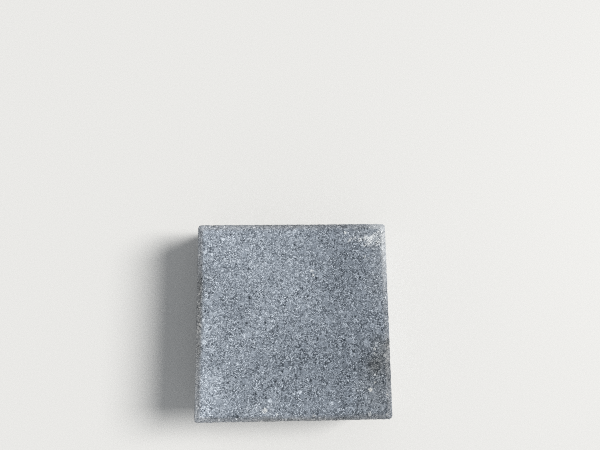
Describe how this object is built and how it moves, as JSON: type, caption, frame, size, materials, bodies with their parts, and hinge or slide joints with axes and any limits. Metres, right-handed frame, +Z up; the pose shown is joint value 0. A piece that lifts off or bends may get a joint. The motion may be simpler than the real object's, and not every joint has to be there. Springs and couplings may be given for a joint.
{
  "type": "concrete paving stone",
  "caption": "Square concrete paving stone with a bevelled top edge, slightly rounded corners and low upright spacer ribs cast on its sides.",
  "frame": {"origin": "centre of the underside, on the bedding", "axes": "+Z up to the walked-on face, +X and +Y square to two neighbouring sides; seen from above as in the picture, +X is to its right and +Y to its top"},
  "size_m": [0.2014, 0.2014, 0.06],
  "materials": {
    "concrete": "matt, granular, blue-grey with light and dark grains"
  },
  "bodies": {
    "root": {"paving_stone": "concrete"}
  },
  "joints": []
}
